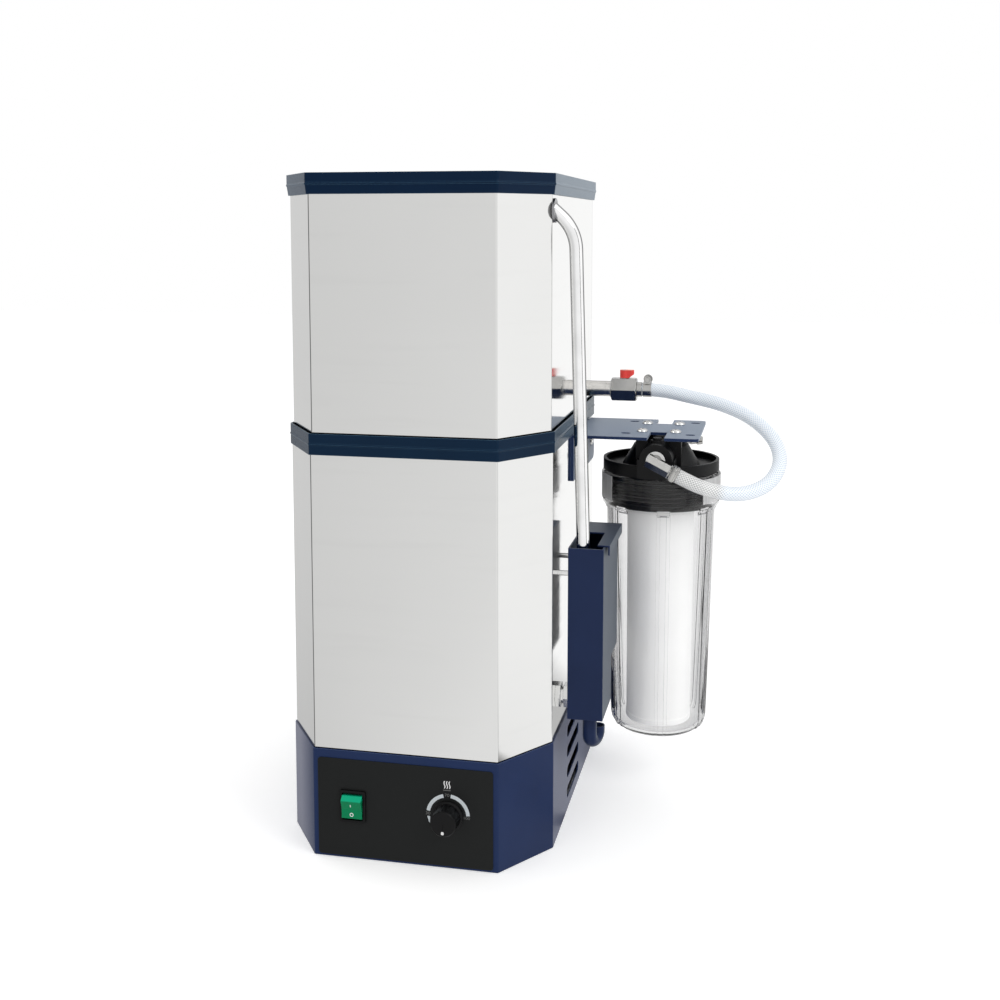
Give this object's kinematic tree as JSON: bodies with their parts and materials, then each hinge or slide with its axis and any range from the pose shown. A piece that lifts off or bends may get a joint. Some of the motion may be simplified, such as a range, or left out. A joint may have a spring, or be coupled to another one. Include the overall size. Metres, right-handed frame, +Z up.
{
  "type": "bench water still",
  "caption": "Eight-sided steel bench water still with a control panel, a level box and a clear cartridge filter on its right-hand wall.",
  "frame": {"origin": "middle of the floor pan's underside", "axes": "+Z up, -Y the front with the control panel, +X the side with the level box and the filter"},
  "size_m": [0.4728, 0.4306, 0.6418],
  "materials": {
    "black_plastic": "satin",
    "black_rubber": "matte",
    "braided_hose": "clear with white braid",
    "brass": "turned",
    "bright_steel": "bright",
    "brushed_steel": "fine brushed",
    "cartridge_white": "wound fibre",
    "clear_plastic": "clear moulded plastic",
    "green_plastic": "gloss",
    "head_black": "moulded",
    "navy_paint": "fine powder coat",
    "nickel_brass": "satin nickel plate",
    "panel_black": "fine matte film",
    "polished_tube": "polished",
    "red_plastic": "gloss",
    "white_plastic": "satin",
    "zinc_steel": "zinc plate"
  },
  "bodies": {
    "cabinet": {"base_floor": "zinc_steel", "base_housing": "navy_paint", "boiler_lid": "brushed_steel", "boiler_tank": "brushed_steel", "bowl_seal": "black_rubber", "box_screws": "bright_steel", "box_spacers": "bright_steel", "bracket_screws": "bright_steel", "bulkhead_nuts": "bright_steel", "cable_gland": "black_plastic", "clamp_screws": "bright_steel", "coil_hangers": "brushed_steel", "condensate_tray": "brushed_steel", "control_panel": "panel_black", "cooling_coil": "bright_steel", "cooling_outlet_tube": "polished_tube", "distillate_outlet": "bright_steel", "drain_spout": "navy_paint", "filter_bracket": "navy_paint", "filter_fittings": "nickel_brass", "filter_head": "head_black", "filter_screws": "bright_steel", "heater_nuts": "brass", "heating_element": "bright_steel", "hose_clamps": "bright_steel", "hose_tail": "nickel_brass", "inlet_hose": "braided_hose", "inlet_pipe": "bright_steel", "level_box": "navy_paint", "level_box_cover": "navy_paint", "level_pipe": "bright_steel", "level_pipe_nuts": "bright_steel", "level_probe": "bright_steel", "lower_casing": "brushed_steel", "mid_band": "navy_paint", "outlet_flange": "bright_steel", "overflow_pipe": "bright_steel", "pan_screws": "bright_steel", "port_washers": "white_plastic", "rubber_pads": "black_rubber", "seal_ring": "white_plastic", "splash_hood": "brushed_steel", "switch_frame": "black_plastic", "terminal_block": "white_plastic", "thermostat": "black_plastic", "thermostat_nut": "bright_steel", "top_cap": "navy_paint", "upper_casing": "brushed_steel", "valve_body": "nickel_brass"},
    "switch": {"switch_rocker": "green_plastic"},
    "knob": {"control_knob": "black_plastic", "thermostat_shaft": "bright_steel"},
    "valve_spindle": {"valve_ball": "bright_steel", "valve_stem": "bright_steel", "valve_handle": "red_plastic", "handle_screw": "bright_steel"},
    "bowl": {"filter_bowl": "clear_plastic", "filter_cartridge": "cartridge_white", "cartridge_caps": "white_plastic"},
    "button": {"relief_button": "head_black"}
  },
  "joints": [
    {"name": "rocker_press", "type": "hinge", "parent": "cabinet", "child": "switch", "pos_m": [-0.0503, -0.1868, 0.0513], "axis": [-1, 0, 0], "range_deg": [0, 20]},
    {"name": "knob_turn", "type": "hinge", "parent": "cabinet", "child": "knob", "pos_m": [0.0419, -0.2, 0.051], "axis": [0, 1, 0], "range_deg": [0, 300]},
    {"name": "valve_turn", "type": "hinge", "parent": "cabinet", "child": "valve_spindle", "pos_m": [0.16725, 0.1, 0.43], "axis": [0, 0, 1], "range_deg": [0, 90]},
    {"name": "bowl_release", "type": "slide", "parent": "cabinet", "child": "bowl", "axis": [0, 0, -1], "range_m": [0, 0.032]},
    {"name": "button_press", "type": "slide", "parent": "cabinet", "child": "button", "axis": [0, 0, -1], "range_m": [0, 0.002], "stiffness_N_per_m": 400, "springref_m": -0.0005}
  ]
}
